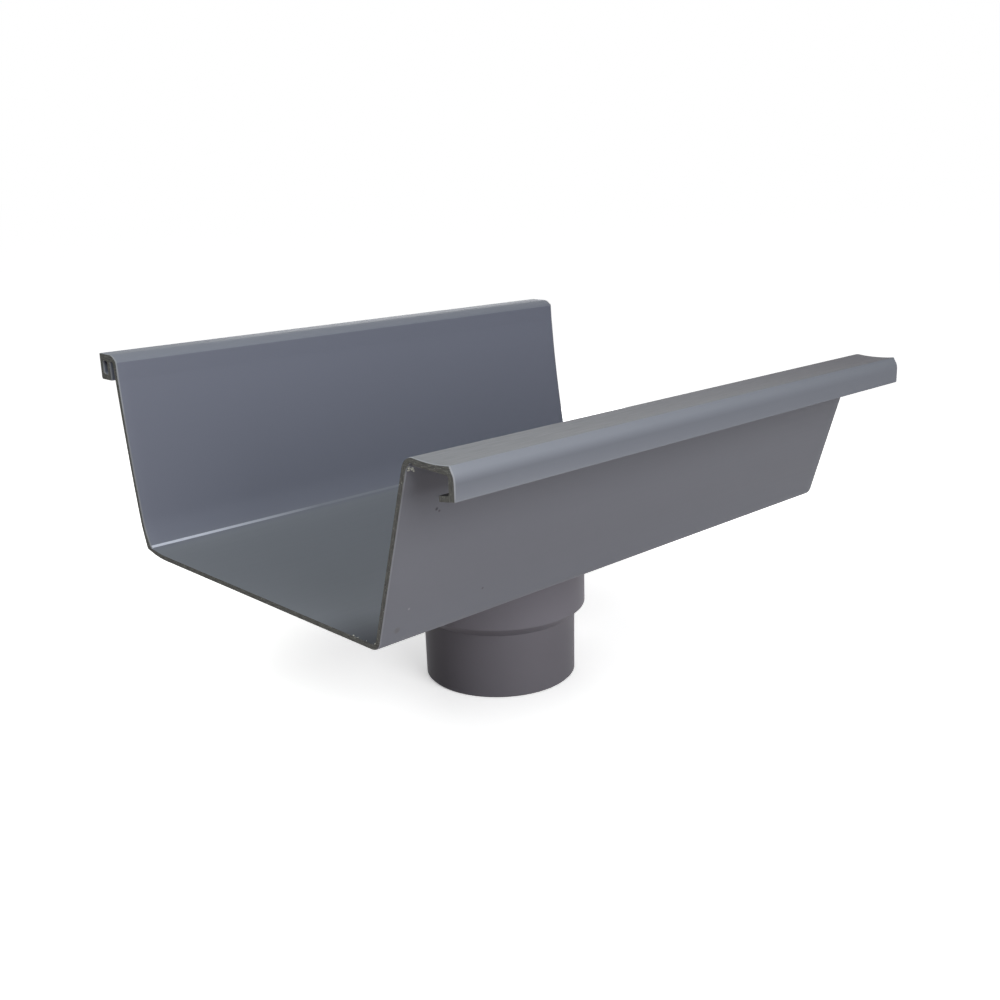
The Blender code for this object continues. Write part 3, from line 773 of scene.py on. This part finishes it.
def make_trough():
    low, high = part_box(TROUGH)
    axis_x, axis_y = spigot_axis()
    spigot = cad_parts[SPIGOT].data
    collar = max(v.co.x for v in spigot.vertices if v.co.z < low.z - UNDER_FLANGE) - axis_x
    fold = (axis_x - FOLD_PLACE + FOLD_INSIDE.x, 0, low.z + FOLD_LIFT + FOLD_INSIDE.y)
    piece = grown("sawn_trough", near_end_section(), sawn_extrusion_tree(), {
        "Length": high.y - low.y, "Slices": SLICES, "Edge Break": EDGE_BREAK, "Edge Depth": EDGE_DEPTH,
        "Unevenness": EDGE_UNEVENNESS, "Edge Grain": EDGE_GRAIN, "Hole Radius": collar + HOLE_CLEARANCE,
        "Hole Place": (axis_x, axis_y, low.z), "Nick Radius": NICK_RADIUS, "Nick Depth": NICK_DEPTH,
        "Nick Place": NICK_PLACE, "Top Level": RIM_TOP_LEVEL, "Fold Place": fold, "Fold Highlight Reach": FOLD_HIGHLIGHT_REACH,
        "Skin": extruded_pvc(), "Painted Fold Highlight": fold_highlight_pvc(), "Edge": scraped_and_highlit_pvc(),
        "Cut": sawn_pvc()})
    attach(piece, "root")
    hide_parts(TROUGH)


def make_shavings():
    """The few curls that the saw left hanging on the near end."""
    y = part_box(TROUGH)[0].y + SHAVING_INSET
    tree = shavings_tree()
    skin = torn_pvc()
    groups = (("nick_shavings", NICK_SHAVINGS, NICK_CURL), ("foot_shavings", SMALL_SHAVINGS, SMALL_CURL))
    for name, places, radius in groups:
        mesh = bpy.data.meshes.new(name)
        mesh.from_pydata([(x * MM, y, height * MM) for x, height in places], [], [])
        piece = grown(name, mesh, tree, {
            "Curl Radius": radius, "Width": SHAVING_WIDTH, "Thickness": SHAVING_THICKNESS,
            "Seed": SHAVING_SEED, "Skin": skin})
        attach(piece, "root")


def make_spigot():
    axis_x, axis_y = spigot_axis()
    piece = grown("moulded_spigot", spigot_half_section(), turned_moulding_tree(), {
        "Turn Radius": TURN_RADIUS, "Sides": TURNED_SIDES, "Axis Place": (axis_x, axis_y, 0),
        "Skin": moulded_pvc()})
    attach(piece, "root")
    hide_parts(SPIGOT)


def seen_directly(tree):
    """1 for camera, glossy and transmission rays, and 0 for the light that the floor and world give."""
    rays = add(tree, "ShaderNodeLightPath").outputs
    first = add(tree, "ShaderNodeMath", {"operation": "ADD", "use_clamp": True}, {
        0: rays["Is Camera Ray"], 1: rays["Is Glossy Ray"]}).outputs[0]
    return add(tree, "ShaderNodeMath", {"operation": "ADD", "use_clamp": True}, {
        0: first, 1: rays["Is Transmission Ray"]}).outputs[0]


def make_floor():
    """A pale floor that keeps the shadow; seen directly it is white paper with a glow of its own, dimmed
    round the spigot's foot as a painted contact shadow.
    """
    mesh = bpy.data.meshes.new("floor")
    shape = bmesh.new()
    bmesh.ops.create_grid(shape, x_segments=1, y_segments=1, size=FLOOR_REACH)
    shape.to_mesh(mesh)
    shape.free()
    floor = link_piece("floor", mesh)
    material = new_material("floor_white")
    tree = material.node_tree
    seen = seen_directly(tree)
    paint = add(tree, "ShaderNodeMix", {"data_type": "RGBA"}, {
        "Factor": seen, "A": linear(FLOOR_BOUNCE), "B": (1, 1, 1, 1)})
    paper = add(tree, "ShaderNodeBsdfDiffuse", links={"Color": paint.outputs["Result"]})
    place = add(tree, "ShaderNodeTexCoord").outputs["Object"]
    axis_x, axis_y = spigot_axis()
    off = add(tree, "ShaderNodeVectorMath", {"operation": "DISTANCE"}, {
        0: place, 1: (axis_x, axis_y, 0)}).outputs["Value"]
    rising = add(tree, "ShaderNodeMapRange", {"interpolation_type": "SMOOTHSTEP"}, {
        "Value": off, "From Min": GLOW_RISE[0], "From Max": GLOW_RISE[1],
        "To Min": FLOOR_GLOW, "To Max": 1.0})
    # painted contact shadow: the glow is dimmed where the spigot shelters the floor
    open_sky = add(tree, "ShaderNodeAmbientOcclusion", links={"Distance": CONTACT_REACH}).outputs["AO"]
    contact = add(tree, "ShaderNodeMapRange", links={
        "Value": open_sky, "To Min": 1 - CONTACT_DEPTH}).outputs[0]
    dimmed = add(tree, "ShaderNodeMath", {"operation": "MULTIPLY"}, {
        0: rising.outputs[0], 1: contact}).outputs[0]
    lift = add(tree, "ShaderNodeMath", {"operation": "MULTIPLY"}, {0: seen, 1: dimmed}).outputs[0]
    glow = add(tree, "ShaderNodeEmission", links={"Color": (1, 1, 1, 1), "Strength": lift})
    both = add(tree, "ShaderNodeAddShader", links={0: paper.outputs[0], 1: glow.outputs[0]})
    add(tree, "ShaderNodeOutputMaterial", links={"Surface": both.outputs[0]})
    mesh.materials.append(material)


def make_world():
    """White where it is seen directly; it gives the object no light of its own."""
    world = bpy.data.worlds.new("studio")
    bpy.context.scene.world = world
    world.use_nodes = True
    tree = world.node_tree
    tree.nodes.clear()
    white = add(tree, "ShaderNodeBackground", links={"Color": (1, 1, 1, 1), "Strength": seen_directly(tree)})
    add(tree, "ShaderNodeOutputWorld", links={"Surface": white.outputs[0]})


def soft_box(name, azimuth, elevation, power, colour):
    """A square soft box that looks at the trough's near front corner from this direction."""
    lamp = bpy.data.lights.new(name, "AREA")
    lamp.shape = "SQUARE"
    lamp.size = LAMP_SIZE
    lamp.energy = power
    lamp.color = linear(colour)[:3]
    holder = bpy.data.objects.new(name, lamp)
    bpy.context.scene.collection.objects.link(holder)
    az, el = math.radians(azimuth), math.radians(elevation)
    away = Vector((math.cos(el) * math.cos(az), math.cos(el) * math.sin(az), math.sin(el)))
    holder.location = LAMP_AIM + LAMP_DISTANCE * away
    holder.rotation_euler = away.to_track_quat("Z", "Y").to_euler()


def make_camera():
    lens = bpy.data.cameras.new("photo_view")
    lens.sensor_width = CAMERA_SENSOR
    lens.lens = CAMERA_FOCAL_LENGTH
    holder = bpy.data.objects.new("photo_view", lens)
    bpy.context.scene.collection.objects.link(holder)
    turn = (Matrix.Rotation(CAMERA_YAW, 4, "Z") @ Matrix.Rotation(math.pi / 2 - CAMERA_PITCH, 4, "X")
            @ Matrix.Rotation(-CAMERA_ROLL, 4, "Z"))
    holder.matrix_world = Matrix.Translation(CAMERA_PLACE) @ turn
    bpy.context.scene.camera = holder


bpy.context.scene.view_settings.view_transform = "Standard"
make_camera()
make_trough()
make_shavings()
make_spigot()
make_floor()
make_world()
for lamp in LAMPS:
    soft_box(*lamp)
